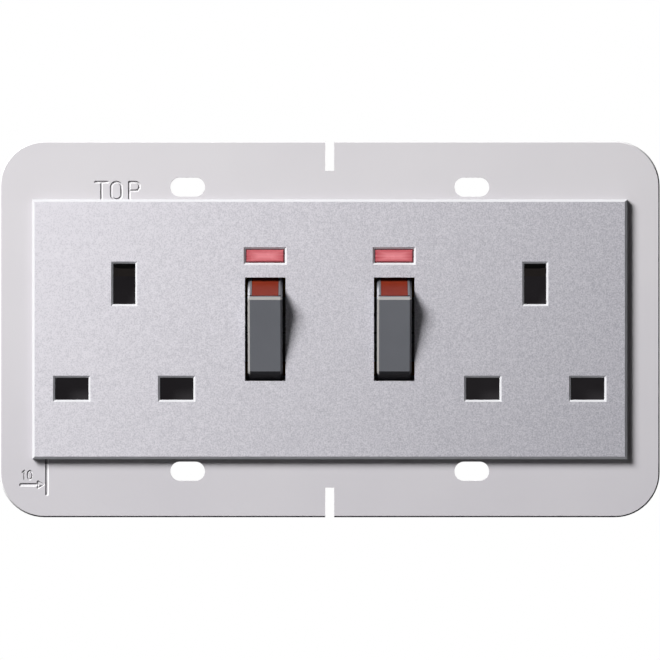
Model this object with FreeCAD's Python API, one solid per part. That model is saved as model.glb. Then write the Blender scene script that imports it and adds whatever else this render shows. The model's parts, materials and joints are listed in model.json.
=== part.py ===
import FreeCAD, Part
import math
import os

# Twin 13 A switched socket outlet with a neon lamp over each switch.
#
# Lengths are millimetres. X runs to the right, Y into the wall and Z up. The origin is the centre of
# the four fixing slots, on the back face of the support plate, which is the face that lies on the wall.
# The rockers are modelled as they rest when switched on: the upper end stands out and shows its red flag.

# Clearances
slide_gap = 0.1
side_gap = 0.2
bearing_gap = 0.05

# Three-pin sockets: pin places, apertures, and how far a plug's pins reach behind the cover's face
socket_x = 43.5
pin_pitch = 22.2
pin_line_z = -12.6
flat_aperture_width = 7.1
flat_aperture_height = 4.7
earth_aperture_width = 4.7
earth_aperture_height = 8.6
flat_pin_length = 17.7
earth_pin_length = 22.7
pin_end_gap = 1.3

# Rocker switches
switch_x = 13.65
rocker_width = 7.3
rocker_radius = 11.3
rocker_ridge_over = 1.6
rocker_ridge_angle = 48.8
rocker_low_angle = 44.9
rocker_edge_bevel = 0.42
rocker_tilt = 10.5
rocker_pivot_depth = 5.8
rocker_wall = 1.2
rocker_side_gap = 0.65
rocker_end_gap = 0.5
carrier_overhang = 1.75
carrier_half_height = 2.9
carrier_back = 4.4
trunnion_radius = 1.25
trunnion_length = 1.5
cheek_half_height = 3.2
flag_margin = 0.85
flag_depth = 1.0
flag_low_angle = 2.0
flag_high_angle = 44.2
flag_groove_angle = 1.4
flag_groove_depth = 0.25

# Lamps and their lenses
lens_width = 8.3
lens_height = 2.9
lens_gap = 3.1
lens_recess = 0.3
lens_bevel = 0.35
lens_flange = 1.2
lens_flange_rim = 0.75
lamp_radius = 2.0
lamp_length = 12.4
lamp_end_bevel = 0.8
lamp_rib_inset = 0.6
lamp_rib_thickness = 0.8
lead_radius = 0.3
lead_bend = 0.9
lead_gap = 1.1
resistor_gap = 1.35
resistor_radius = 1.1
resistor_length = 6.5
resistor_y = 10.0
resistor_drop = 4.5

# Support plate: the sheet that is screwed over the wall box
support_margin_x = 7.0
support_margin_z = 12.4
support_thickness = 1.5
support_corner = 9.5
support_edge_bevel = 0.3
fixing_pitch = 60.3
slot_length = 7.4
slot_width = 4.1
notch_width = 1.9
notch_depth = 6.3

# Centre plate: the visible metal-lacquered cover
cover_rise = 2.5
cover_wall = 1.5
cover_side_wall = 1.6
cover_side_gap = 1.4
cover_overlap_z = 4.8
cover_edge_bevel = 0.55
aperture_bevel = 0.42
hook_x = 30.0
hook_width = 5.0
hook_gap = 0.5
hook_thickness = 1.2
hook_catch = 0.7
hook_end = 2.2

# Housing of the mechanism: front moulding, middle frame and rear cover
nose_wall = 1.8
nose_edge = 1.85
nose_rim = 1.9
flange_step_x = 1.0
flange_step_z = 3.3
flange_thickness = 1.6
flange_corner = 3.0
body_step = 0.5
body_wall = 1.5
body_corner = 2.0
rear_space = 5.0
rear_tray_depth = 4.5
floor_thickness = 1.6
back_edge_bevel = 0.9
partition_gap = 2.8
partition_thickness = 1.2
rib_thickness = 1.2
joint_groove_width = 0.6
wall_groove_width = 1.4
wall_groove_depth = 0.5
wall_groove_first_x = 33.0
wall_groove_pitch = 7.0
wall_groove_count = 4
wall_groove_end_gap = 3.0

# Shutters
shutter_thickness = 1.85
shutter_front_gap = 0.15
shutter_travel = 5.5
shutter_end_gap = 0.15
shutter_overlap = 0.6
shutter_bridge = 3.5
shutter_cover_thickness = 1.2
shutter_cover_margin = 0.6
cover_foot_x = 4.5
cover_foot_width = 3.0
cover_foot_height = 1.6
cover_stud_width = 2.6
ramp_depth = 5.0
ramp_height = 6.1
ramp_width = 5.8
ramp_thickness = 2.0
spring_radius = 0.8
spring_wire = 0.17
spring_turns = 4
coil_steps = 8

# Brass contact parts
leaf_thickness = 0.7
leaf_gap = 3.5
leaf_flare = 1.2
leaf_mouth_gap = 0.7
leaf_mouth_depth = 3.4
leaf_swell = 0.9
flat_clip_width = 6.0
earth_clip_width = 7.0
strip_thickness = 0.8
strip_width = 3.0
strip_bend = 0.8
line_bar_gap = 0.2
line_bar_height = 4.0
neutral_bar_z = -8.5
left_run_gap = 0.7
right_run_z = -1.5

# Terminals
terminal_x = 5.0
terminal_width = 7.4
terminal_height = 9.4
terminal_depth = 7.8
terminal_front = 13.5
terminal_end_gap = 0.3
terminal_end_wall = 1.2
terminal_edge_bevel = 0.5
wire_radius = 2.3
wire_axis_inset = 2.9
wire_entry_radius = 3.05
terminal_screw_radius = 1.75
terminal_screw_inset = 3.7
terminal_head_radius = 2.9
terminal_head_height = 2.2
terminal_head_rise = 0.2
terminal_well_gap = 0.3
terminal_recess = 0.6
terminal_recess_height = 9.6
terminal_recess_margin = 1.8

# Switch contacts
plunger_radius = 1.55
plunger_reach = 7.4
plunger_nose = 1.05
plunger_tip_radius = 0.5
plunger_tail = 1.6
plunger_bore_depth = 4.6
stem_wall = 1.1
stem_front = 6.6
stem_back = 5.4
plunger_wire = 0.2
lever_width = 6.0
lever_arm = 8.5
lever_thickness = 0.8
lever_tilt = 9.0
lever_pivot_radius = 0.8
lever_pivot_gap = 0.1
lever_post_thickness = 1.1
lever_post_overhang = 0.5
contact_z = 8.4
contact_radius = 1.4
contact_height = 0.75
contact_gap = 0.4

# Fasteners
screw_radius = 1.2
screw_head_radius = 2.3
screw_head_height = 1.4
screw_well = 1.8
screw_bite = 5.0
screw_slot_width = 0.7
plate_screw_length = 6.0
boss_width = 5.4
boss_length = 8.0
bore_sides = 12
head_sides = 28

# Depths that follow from the sizes above
face_y = -(support_thickness + cover_rise)
cover_inner_y = face_y + cover_wall
nose_y = cover_inner_y + slide_gap
nose_inner_y = nose_y + nose_wall
rocker_pivot_y = face_y + rocker_pivot_depth
shutter_y = flange_thickness + shutter_front_gap
shutter_back_y = shutter_y + shutter_thickness
shutter_cover_y = shutter_back_y + side_gap
lamp_y = nose_inner_y + lens_flange + slide_gap + lamp_radius
flat_clip_base = face_y + flat_pin_length + pin_end_gap
earth_clip_base = face_y + earth_pin_length + pin_end_gap
line_strip_y = flat_clip_base
line_bar_y = line_strip_y + strip_thickness + line_bar_gap
rear_bar_y = earth_clip_base + side_gap
body_depth = earth_clip_base + rear_space
joint_depth = body_depth - rear_tray_depth
floor_y = body_depth - floor_thickness
rib_foot_y = floor_y + floor_thickness / 3
wire_y = terminal_front + wire_axis_inset
lever_front_y = rocker_pivot_y + plunger_reach + side_gap
lever_pivot_y = lever_front_y + lever_thickness + lever_pivot_radius + lever_pivot_gap

# Plan sizes that follow from the sizes above
live_x = pin_pitch / 2
earth_z = pin_line_z + pin_pitch
earth_bar_z = earth_z
flag_width = rocker_width - 2 * flag_margin
carrier_half = rocker_width / 2 + carrier_overhang
ridge_reach = rocker_radius + rocker_ridge_over
ridge_z = ridge_reach * math.cos(math.radians(rocker_ridge_angle))
face_low_z = rocker_radius * math.cos(math.radians(rocker_low_angle))
opening_reach = math.sqrt(rocker_radius**2 - (rocker_pivot_depth - cover_wall) ** 2)
rocker_opening_height = 2 * (opening_reach + rocker_end_gap)
rocker_opening_width = rocker_width + 2 * rocker_side_gap
lens_z = rocker_opening_height / 2 + lens_gap + lens_height / 2
nose_width = 2 * (socket_x + live_x + flat_aperture_width / 2 + nose_edge)
nose_height = 2 * (lens_z + lens_height / 2 + lens_flange_rim + nose_rim)
pocket_height = nose_height - 2 * body_wall
shutter_low = pin_line_z - flat_aperture_height / 2 - shutter_overlap
shutter_top = pin_line_z + flat_aperture_height / 2 + shutter_overlap
inner_height = 2 * (shutter_travel + shutter_end_gap - shutter_low)
body_height = inner_height + 2 * body_wall
body_width = nose_width + 2 * body_step
inner_width = body_width - 2 * body_wall
flange_width = body_width + 2 * flange_step_x
flange_height = body_height + 2 * flange_step_z
cover_width = nose_width + 2 * (cover_side_gap + cover_side_wall)
cover_height = body_height + 2 * cover_overlap_z
support_width = cover_width + 2 * support_margin_x
support_height = cover_height + 2 * support_margin_z
hook_z = body_height / 2 + hook_gap
partition_x = socket_x - live_x - flat_clip_width / 2 - partition_gap
line_run_x = partition_x - partition_thickness / 2 - strip_width / 2 - side_gap
lead_run_x = switch_x + lamp_length / 2 + resistor_gap
plate_screw_x = partition_x - boss_width / 2
plate_screw_z = body_height / 2 - slide_gap
corner_boss = (inner_width / 2 - boss_width / 2 + side_gap, inner_height / 2 - boss_width / 2 + side_gap)
middle_boss = (partition_x - boss_width / 2, pocket_height / 2 - 0.45 * screw_radius - boss_width / 8)
left_run_z = -middle_boss[1] + boss_width / 2 + left_run_gap + strip_width / 2
housing_screw_places = [
    (-corner_boss[0], corner_boss[1]),
    corner_boss,
    (-middle_boss[0], -middle_boss[1]),
    (middle_boss[0], -middle_boss[1]),
]
terminal_end_z = inner_height / 2 - terminal_end_gap
terminal_inner_z = terminal_end_z - terminal_height
terminal_screw_z = terminal_inner_z + terminal_screw_inset
terminal_places = [(-terminal_x, -1), (terminal_x, -1), (-terminal_x, 1), (terminal_x, 1)]


def vec(x, y, z):
    return FreeCAD.Vector(x, y, z)


def block(x0, x1, y0, y1, z0, z1):
    """Rectangular block between two corners."""
    return Part.makeBox(x1 - x0, y1 - y0, z1 - z0, vec(x0, y0, z0))


def slab(x, z, width, height, y0, y1):
    """Block centred on x and z that runs from y0 to y1."""
    return block(x - width / 2, x + width / 2, y0, y1, z - height / 2, z + height / 2)


def rod_x(y, z, radius, x0, x1):
    return Part.makeCylinder(radius, x1 - x0, vec(x0, y, z), vec(1, 0, 0))


def rod_y(x, z, radius, y0, y1):
    return Part.makeCylinder(radius, y1 - y0, vec(x, y0, z), vec(0, 1, 0))


def rod_z(x, y, radius, z0, z1):
    return Part.makeCylinder(radius, z1 - z0, vec(x, y, z0), vec(0, 0, 1))


def many_sided(x, z, radius, y0, y1, sides=bore_sides):
    """Rod along Y with flat sides and its corners at the radius."""
    corners = []
    for side in range(sides + 1):
        angle = 2 * math.pi * side / sides
        corners.append(vec(x + radius * math.cos(angle), y0, z + radius * math.sin(angle)))
    return Part.Face(Part.makePolygon(corners)).extrude(vec(0, y1 - y0, 0))


def bore_y(x, z, radius, y0, y1, sides=bore_sides):
    """Cutter for a plain hole along Y: its flat sides touch the radius."""
    return many_sided(x, z, radius / math.cos(math.pi / sides), y0, y1, sides)


def taper_y(x, z, wide, narrow, y0):
    """Countersunk shape along Y, as deep as its radius shrinks."""
    rings = []
    for radius, y in ((wide, y0), (narrow, y0 + wide - narrow)):
        corners = []
        for side in range(head_sides + 1):
            angle = 2 * math.pi * side / head_sides
            corners.append(vec(x + radius * math.cos(angle), y, z + radius * math.sin(angle)))
        rings.append(Part.makePolygon(corners))
    return Part.makeLoft(rings, True, True)


def rounded_slab(width, height, radius, y0, y1):
    """Plate about the Y axis with rounded corners."""
    plate = slab(0, 0, width, height, y0, y1)
    corners = [e for e in plate.Edges if abs(e.tangentAt(e.FirstParameter).y) > 0.99]
    return plate.makeFillet(radius, corners)


def front_rim(solid, y):
    """Edges that lie in the plane at depth y."""
    return [e for e in solid.Edges if all(abs(v.Y - y) < 0.01 for v in e.Vertexes)]


def rectangle(x, z, width, height, y):
    w, h = width / 2, height / 2
    corners = [(x - w, z - h), (x + w, z - h), (x + w, z + h), (x - w, z + h), (x - w, z - h)]
    return Part.makePolygon([vec(a, y, b) for a, b in corners])


def flared_cut(x, z, width, height, y0, y1, bevel):
    """Cutter for a straight aperture with a bevelled mouth at y0."""
    mouth = rectangle(x, z, width + 2 * bevel, height + 2 * bevel, y0)
    throat = rectangle(x, z, width, height, y0 + bevel)
    return Part.makeLoft([mouth, throat], True, True).fuse(slab(x, z, width, height, y0, y1))


def slot_cut(x, z, length, width, y0, y1):
    """Cutter for a slot with round ends that runs along X."""
    reach = (length - width) / 2
    ends = rod_y(x - reach, z, width / 2, y0, y1).fuse(rod_y(x + reach, z, width / 2, y0, y1))
    return ends.fuse(slab(x, z, 2 * reach, width, y0, y1)).removeSplitter()


def prism_x(points, x0, x1):
    """Polygon of (y, z) points extruded from x0 to x1."""
    wire = Part.makePolygon([vec(x0, y, z) for y, z in points + points[:1]])
    return Part.Face(wire).extrude(vec(x1 - x0, 0, 0))


def ribbon(points, normal, thickness, width, radius):
    """Bent strip: the centre line lies in the plane of the normal, and the width runs along the normal."""
    sides = {1: [], -1: []}
    start = points[0]
    for before, corner, after in zip(points, points[1:], points[2:]):
        into = (corner - before).normalize()
        out = (after - corner).normalize()
        turn = into.getAngle(out)
        reach = radius * math.tan(turn / 2)
        first, last = corner - into * reach, corner + out * reach
        centre = corner + (out - into).normalize() * (radius / math.cos(turn / 2))
        for side, edges in sides.items():
            shift, end_shift = (normal.cross(way) * (side * thickness / 2) for way in (into, out))
            inner = shift.dot(centre - first) > 0
            arc_radius = radius - thickness / 2 if inner else radius + thickness / 2
            middle = centre + (corner - centre).normalize() * arc_radius
            edges.append(Part.makeLine(start + shift, first + shift))
            edges.append(Part.Arc(first + shift, middle, last + end_shift).toShape())
        start = last
    along = (points[-1] - start).normalize()
    for side, edges in sides.items():
        shift = normal.cross(along) * (side * thickness / 2)
        edges.append(Part.makeLine(start + shift, points[-1] + shift))
    caps = [
        Part.makeLine(sides[1][i].Vertexes[j].Point, sides[-1][i].Vertexes[j].Point)
        for i, j in ((0, 0), (-1, -1))
    ]
    outline = Part.Wire(Part.__sortEdges__(sides[1] + sides[-1] + caps))
    strip = Part.Face(outline).extrude(normal * width)
    strip.translate(normal * (-width / 2))
    return strip


def wire_along(path, radius):
    """Six-sided wire with mitred joints along a list of points."""
    along = (path[1] - path[0]).normalize()
    helper = vec(0, 1, 0) if abs(along.y) < 0.9 else vec(1, 0, 0)
    across = along.cross(helper).normalize()
    outward = across.cross(along)
    corners = []
    for side in range(7):
        angle = math.radians(60 * side)
        corners.append(path[0] + outward * (radius * math.cos(angle)) + across * (radius * math.sin(angle)))
    return Part.makePolygon(path).makePipeShell([Part.makePolygon(corners)], True, False, 1)


def lead(points):
    """Component lead: straight runs with each corner turned in two short steps."""
    path = [points[0]]
    for before, corner, after in zip(points, points[1:], points[2:]):
        into = (corner - before).normalize()
        out = (after - corner).normalize()
        path += [corner - into * lead_bend, corner + out * lead_bend]
    return wire_along(path + [points[-1]], lead_radius)


def coil(radius, wire, length, turns):
    """Compression spring about the Z axis, standing on the XY plane."""
    steps = turns * coil_steps
    rise = (length - 2 * wire) / steps
    path = []
    for step in range(steps + 1):
        angle = 2 * math.pi * step / coil_steps
        path.append(vec(radius * math.cos(angle), radius * math.sin(angle), wire + rise * step))
    return wire_along(path, wire)


def turned(shape, pivot_y, degrees):
    """Copy turned about the X axis through the given depth, at mid height."""
    copy = shape.copy()
    copy.rotate(vec(0, pivot_y, 0), vec(1, 0, 0), degrees)
    return copy


def moved(shape, x, y, z):
    copy = shape.copy()
    copy.translate(vec(x, y, z))
    return copy


def joined(shapes):
    solid = shapes[0].multiFuse(shapes[1:]) if len(shapes) > 1 else shapes[0]
    return solid.removeSplitter()


def pin_places(x):
    """Aperture centres and sizes of the socket at x: neutral, live and earth."""
    flat = (flat_aperture_width, flat_aperture_height)
    earth = (earth_aperture_width, earth_aperture_height)
    return [(x - live_x, pin_line_z, *flat), (x + live_x, pin_line_z, *flat), (x, earth_z, *earth)]


def support_plate():
    plate = rounded_slab(support_width, support_height, support_corner, -support_thickness, 0)
    plate = plate.makeChamfer(support_edge_bevel, front_rim(plate, -support_thickness))
    front, back = -support_thickness - 1, 1
    cuts = [slab(0, 0, nose_width + 2 * side_gap, nose_height + 2 * side_gap, front, back)]
    for sign in (-1, 1):
        edge = sign * support_height / 2
        cuts.append(slab(0, edge, notch_width, 2 * notch_depth, front, back))
        for side in (-1, 1):
            x, z = side * fixing_pitch / 2, sign * fixing_pitch / 2
            cuts.append(slot_cut(x, z, slot_length, slot_width, front, back))
            hook_middle = sign * (hook_z + hook_thickness / 2)
            width, height = hook_width + 4 * side_gap, hook_thickness + 2 * side_gap
            cuts.append(slab(side * hook_x, hook_middle, width, height, front, back))
            cuts.append(countersink(side * plate_screw_x, sign * plate_screw_z))
    return plate.cut(joined(cuts))


def countersink(x, z):
    """Cutter for a countersunk screw hole in the support plate."""
    hole = bore_y(x, z, screw_radius + side_gap, -support_thickness - 1, 1)
    wide, narrow = screw_head_radius + slide_gap, screw_radius + slide_gap
    return hole.fuse(taper_y(x, z, wide, narrow, -support_thickness))


def centre_plate():
    back = -support_thickness
    shell = slab(0, 0, cover_width, cover_height, face_y, back)
    shell = shell.makeChamfer(cover_edge_bevel, front_rim(shell, face_y))
    inner_w = cover_width - 2 * cover_side_wall
    inner_h = cover_height - 2 * cover_side_wall
    shell = shell.cut(slab(0, 0, inner_w, inner_h, cover_inner_y, back))
    cuts = []
    for side in (-1, 1):
        for x, z, width, height in pin_places(side * socket_x):
            cuts.append(flared_cut(x, z, width, height, face_y, back, aperture_bevel))
        x = side * switch_x
        cuts.append(slab(x, 0, rocker_opening_width, rocker_opening_height, face_y, back))
        cuts.append(flared_cut(x, lens_z, lens_width, lens_height, face_y, back, aperture_bevel))
    return shell.cut(joined(cuts))


def cover_frame():
    """Plastic frame inside the rim of the centre plate, with the snap hooks that hold the plate."""
    back = -support_thickness
    width = cover_width - 2 * cover_side_wall - side_gap
    height = cover_height - 2 * cover_side_wall - side_gap
    ring = slab(0, 0, width, height, cover_inner_y, back)
    opening = slab(0, 0, nose_width + 2 * side_gap, nose_height + 2 * side_gap, face_y, back + 1)
    hooks = [plate_hook(side * hook_x, sign) for side in (-1, 1) for sign in (-1, 1)]
    return joined([ring.cut(opening)] + hooks)


def plate_hook(x, sign):
    """Snap hook of the cover frame: it goes through the support plate and catches on its back."""
    near, far = hook_z, hook_z + hook_thickness
    root, catch, end = cover_inner_y, bearing_gap, hook_end
    points = [(root, near), (end, near), (end, far - side_gap)]
    points += [(catch, far + hook_catch), (catch, far), (root, far)]
    return prism_x([(y, sign * z) for y, z in points], x - hook_width / 2, x + hook_width / 2)


def front_housing():
    """Front moulding: the nose that fills the cover, its flange, and the bearings of the rockers."""
    nose = slab(0, 0, nose_width, nose_height, nose_y, 0)
    flange = rounded_slab(flange_width, flange_height, flange_corner, 0, flange_thickness)
    pocket_width = 2 * (partition_x - partition_thickness / 2)
    pocket = slab(0, 0, pocket_width, pocket_height, nose_inner_y, flange_thickness)
    adds = []
    cuts = []
    for side in (-1, 1):
        x = side * switch_x
        adds += bearing_cheeks(x) + lamp_ribs(x)
        cuts += switch_cuts(x)
        for px, pz, width, height in pin_places(side * socket_x):
            hole = slab(px, pz, width + slide_gap, height + slide_gap, nose_y - 1, flange_thickness + 1)
            cuts.append(hole)
        for sign in (-1, 1):
            place = (side * plate_screw_x, sign * plate_screw_z)
            cuts.append(bore_y(*place, screw_radius + side_gap, -1, flange_thickness + 1))
            reach = flange_height / 2
            middle = sign * (hook_z - slide_gap + reach / 2)
            width = hook_width + 6 * side_gap
            cuts.append(slab(side * hook_x, middle, width, reach, -1, flange_thickness + 1))
    return joined([joined([nose, flange]).cut(pocket)] + adds).cut(joined(cuts))


def bearing_cheeks(x):
    """Two walls beside the rocker that carry its trunnions."""
    near = carrier_half + side_gap
    cheeks = []
    for side in (-1, 1):
        x0, x1 = sorted((x + side * near, x + side * (near + trunnion_length)))
        root, end = nose_inner_y - slide_gap, rocker_pivot_y + cheek_half_height
        low, high = cheek_half_height, cheek_half_height / 2
        outline = [(root, -low), (rocker_pivot_y, -low), (end, -high)]
        outline += [(y, -z) for y, z in reversed(outline)]
        cheeks.append(prism_x(outline, x0, x1))
    return cheeks


def lamp_ribs(x):
    """Two ribs with V seats that hold the lamp behind its lens."""
    seat = lamp_radius * math.sqrt(2) + bearing_gap
    half = seat + lamp_rib_thickness / 2
    root = nose_inner_y - slide_gap
    outline = [(root, -half), (lamp_y, -half), (lamp_y, -seat), (lamp_y - seat, 0)]
    outline += [(lamp_y, seat), (lamp_y, half), (root, half)]
    ribs = []
    for side in (-1, 1):
        middle = x + side * (lamp_length / 2 - lamp_rib_inset)
        points = [(y, lens_z + z) for y, z in outline]
        ribs.append(prism_x(points, middle - lamp_rib_thickness / 2, middle + lamp_rib_thickness / 2))
    return ribs


def switch_cuts(x):
    """Openings of the front wall for one rocker and its lens, and the trunnion bearings."""
    half = carrier_half + side_gap + trunnion_length
    opening_height = 2 * (rocker_radius + side_gap)
    return [
        slab(x, 0, rocker_opening_width, opening_height, nose_y - 1, nose_inner_y + slide_gap),
        slab(x, lens_z, lens_width + slide_gap, lens_height + slide_gap, nose_y - 1, nose_inner_y),
        rod_x(rocker_pivot_y, 0, trunnion_radius + bearing_gap, x - half, x + half),
    ]


def middle_frame():
    """Tube between the front moulding and the rear cover, with two partitions and the screw bosses."""
    tube = rounded_slab(body_width, body_height, body_corner, flange_thickness, joint_depth)
    tube = tube.cut(joined([slab(0, 0, inner_width, inner_height, 0, body_depth)] + wall_grooves()))
    adds = []
    cuts = []
    notch_height = strip_width + 2 * side_gap
    for side in (-1, 1):
        x = side * partition_x
        end = earth_clip_base - side_gap
        wall = slab(x, 0, partition_thickness, inner_height + body_wall, flange_thickness, end)
        notch_y = line_strip_y - side_gap
        notch = slab(x, line_run_z(side), 2 * partition_thickness, notch_height, notch_y, end)
        adds.append(wall.cut(notch))
        for sign in (-1, 1):
            bx, bz = side * plate_screw_x, sign * plate_screw_z
            boss_end = plate_screw_length + body_wall
            adds.append(many_sided(bx, bz, screw_head_radius, flange_thickness, boss_end, head_sides))
            cuts.append(bore_y(bx, bz, screw_radius + bearing_gap, 0, plate_screw_length))
    for x, z in housing_screw_places:
        adds.append(slab(x, z, boss_width, boss_width, joint_depth - boss_length, joint_depth))
        cuts.append(bore_y(x, z, screw_radius + bearing_gap, joint_depth - screw_bite - 1, joint_depth))
    for x, sign in terminal_places:
        edge_z = sign * body_height / 2
        front, back = wire_y - wire_entry_radius, wire_y + wire_entry_radius
        height = 2 * (body_wall + slide_gap)
        cuts.append(slab(x, edge_z, 2 * wire_entry_radius, height, front, back))
    return joined([tube] + adds).cut(joined(cuts))


def wall_grooves():
    """Short grooves along the long walls of the middle frame."""
    grooves = []
    y0, y1 = flange_thickness + wall_groove_end_gap, joint_depth - wall_groove_end_gap
    for index in range(wall_groove_count):
        x = wall_groove_first_x + index * wall_groove_pitch
        for side in (-1, 1):
            for sign in (-1, 1):
                z = sign * body_height / 2
                grooves.append(slab(side * x, z, wall_groove_width, 2 * wall_groove_depth, y0, y1))
    return grooves


def rear_cover():
    """Shallow tray that closes the housing, with posts and ribs under the brass parts."""
    tray = rounded_slab(body_width, body_height, body_corner, joint_depth, body_depth)
    tray = tray.makeChamfer(back_edge_bevel, front_rim(tray, body_depth))
    outer = slab(0, 0, body_width + 1, body_height + 1, joint_depth, joint_depth + joint_groove_width)
    depth = wall_groove_depth
    core = rounded_slab(body_width - 2 * depth, body_height - 2 * depth, body_corner - depth, 0, body_depth)
    tray = tray.cut(joined([slab(0, 0, inner_width, inner_height, 0, floor_y), outer.cut(core)]))
    adds = bar_supports()
    cuts = []
    for x, z in housing_screw_places:
        adds.append(slab(x, z, boss_width, boss_width, joint_depth, rib_foot_y))
        cuts.append(bore_y(x, z, screw_radius + side_gap, joint_depth - 1, body_depth + 1))
        well = screw_head_radius + side_gap
        cuts.append(bore_y(x, z, well, body_depth - screw_well, body_depth + 1, head_sides))
    well_radius = terminal_head_radius + terminal_well_gap
    pad = 2 * (well_radius + terminal_recess_margin / 2)
    terminal_back = terminal_front + terminal_depth
    for x, sign in terminal_places:
        z = sign * terminal_screw_z
        adds.append(slab(x, z, pad, pad, terminal_back, rib_foot_y))
        cuts.append(bore_y(x, z, well_radius, terminal_back - 1, body_depth + 1, head_sides))
    recess_width = 2 * (terminal_x + well_radius + terminal_recess_margin)
    recess_y = body_depth - terminal_recess
    for sign in (-1, 1):
        z = sign * terminal_screw_z
        cuts.append(slab(0, z, recess_width, terminal_recess_height, recess_y, body_depth + 1))
    return joined([tray] + adds).cut(joined(cuts))


def bar_supports():
    """Posts and ribs on the floor that the brass bars and strips lie on."""
    supports = []
    rib_height = strip_width + rib_thickness
    left_neutral, right_neutral = -socket_x - live_x, socket_x - live_x
    neutral_back = rear_bar_y + strip_thickness
    for x in (left_neutral, -partition_x + partition_gap, switch_x, right_neutral):
        supports.append(slab(x, neutral_bar_z, rib_thickness, rib_height, neutral_back, rib_foot_y))
    earth_back = earth_clip_base + strip_thickness
    for x in (-socket_x, -partition_x - partition_gap, partition_x + partition_gap, socket_x):
        supports.append(slab(x, earth_bar_z, rib_thickness, rib_height, earth_back, rib_foot_y))
    strip_back = line_strip_y + strip_thickness
    bar_back = line_bar_y + strip_thickness
    run_middle = (contact_z + right_run_z) / 2
    places = [
        (live_x - socket_x, left_run_z, strip_width, strip_back),
        (live_x + socket_x, pin_line_z, strip_width, strip_back),
        (-line_run_x, run_middle, strip_width, strip_back),
        (line_run_x, run_middle, strip_width, strip_back),
        (-switch_x, 0, line_bar_height, bar_back),
        (switch_x, 0, line_bar_height, bar_back),
    ]
    for x, z, height, y in places:
        supports.append(slab(x, z, strip_width, height, y, rib_foot_y))
    return supports


def lens(x):
    """Light window: a front that fills the cover's aperture, and a flange that holds it from behind."""
    top = face_y + lens_recess
    front = slab(x, lens_z, lens_width - slide_gap, lens_height - slide_gap, top, nose_inner_y)
    front = front.makeChamfer(lens_bevel, front_rim(front, top))
    rim = 2 * lens_flange_rim
    flange = slab(x, lens_z, lens_width + rim, lens_height + rim, nose_inner_y, nose_inner_y + lens_flange)
    return joined([front, flange])


def lamp(x, side):
    """Neon lamp that lies along X, with the lead that drops to the switched live strip."""
    half = lamp_length / 2
    glass = rod_x(lamp_y, lens_z, lamp_radius, x - half, x + half)
    ends = [e for e in glass.Edges if abs(e.Length - 2 * math.pi * lamp_radius) < 0.01]
    glass = glass.makeChamfer(lamp_end_bevel, ends)
    inner_end = x - side * half
    run = inner_end - side * lead_gap
    strip_middle = fixed_strip_y() + strip_thickness / 2
    route = [
        vec(inner_end + side * side_gap, lamp_y, lens_z),
        vec(run, lamp_y, lens_z),
        vec(run, strip_middle, lens_z),
        vec(run, strip_middle, contact_z + strip_width / 2),
    ]
    return joined([glass, lead(route)])


def resistor(x, side):
    """Series resistor on its lead, from the lamp's outer end to the neutral bar."""
    run = side * lead_run_x
    route = [
        vec(x + side * lamp_length / 2, lamp_y, lens_z),
        vec(run, lamp_y, lens_z),
        vec(run, resistor_y, lens_z),
        vec(run, resistor_y, neutral_bar_z),
        vec(run, rear_bar_y, neutral_bar_z),
    ]
    top = lens_z - resistor_drop
    case = rod_z(run, resistor_y, resistor_radius, top - resistor_length, top)
    rims = [e for e in case.Edges if abs(e.Length - 2 * math.pi * resistor_radius) < 0.01]
    return joined([case.makeChamfer(lead_radius, rims), lead(route)])


def shutter(x):
    """Slide that blocks the live and neutral holes. The earth pin presses its ramp down."""
    y0, y1 = shutter_y, shutter_back_y
    half = flat_aperture_width / 2 + shutter_overlap
    blades = []
    for blade_x in (x - live_x, x + live_x):
        blades.append(block(blade_x - half, blade_x + half, y0, y1, shutter_low, shutter_top))
    bridge = block(x - live_x, x + live_x, y0, y1, shutter_top - shutter_bridge, shutter_top)
    foot = earth_z - earth_aperture_height / 2 - slide_gap
    left, right = x - ramp_width / 2, x + ramp_width / 2
    stem = block(left, right, y0, y1, shutter_top - shutter_overlap, foot)
    deep, high = y0 + ramp_depth, foot + ramp_height
    outline = [
        (y0, foot - ramp_thickness),
        (y0, foot),
        (deep, high),
        (deep, high - ramp_thickness),
        (y1, foot - ramp_thickness),
    ]
    return joined(blades + [bridge, stem, prism_x(outline, left, right)])


def shutter_spring(x):
    """Coil between the shutter's bridge and the wall of the middle frame."""
    seat = shutter_top - shutter_bridge - bearing_gap
    foot = -inner_height / 2 + bearing_gap
    spring = coil(spring_radius, spring_wire, seat - foot, spring_turns)
    return moved(spring, x, (shutter_y + shutter_back_y) / 2, foot)


def shutter_cover(x):
    """Plate behind one shutter with the pin holes and the slot of the ramp, on feet that space it off."""
    y0, y1 = shutter_cover_y, shutter_cover_y + shutter_cover_thickness
    half = live_x + flat_aperture_width / 2 + shutter_cover_margin
    top = earth_z + earth_aperture_height / 2 + 2 * shutter_cover_margin
    low = -inner_height / 2 + side_gap
    plate = block(x - half, x + half, y0, y1, low, top)
    feet = []
    for side in (-1, 1):
        foot_x, foot_z = x + side * cover_foot_x, low + cover_foot_height / 2
        feet.append(slab(foot_x, foot_z, cover_foot_width, cover_foot_height, flange_thickness, y1))
        stud_x, stud_z = x + side * (half - cover_stud_width / 2), top - cover_stud_width / 2
        feet.append(slab(stud_x, stud_z, cover_stud_width, cover_stud_width, flange_thickness, y1))
    ramp_low = earth_z - earth_aperture_height / 2 - shutter_travel - ramp_thickness - 2 * side_gap
    slot_half = ramp_width / 2 + side_gap
    pin_top = earth_z + earth_aperture_height / 2
    cuts = [block(x - slot_half, x + slot_half, y0 - 1, y1 + 1, ramp_low, pin_top)]
    for px, pz, width, height in pin_places(x)[:2]:
        cuts.append(slab(px, pz, width + side_gap, height + side_gap, y0 - 1, y1 + 1))
    return joined([plate] + feet).cut(joined(cuts))


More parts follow.
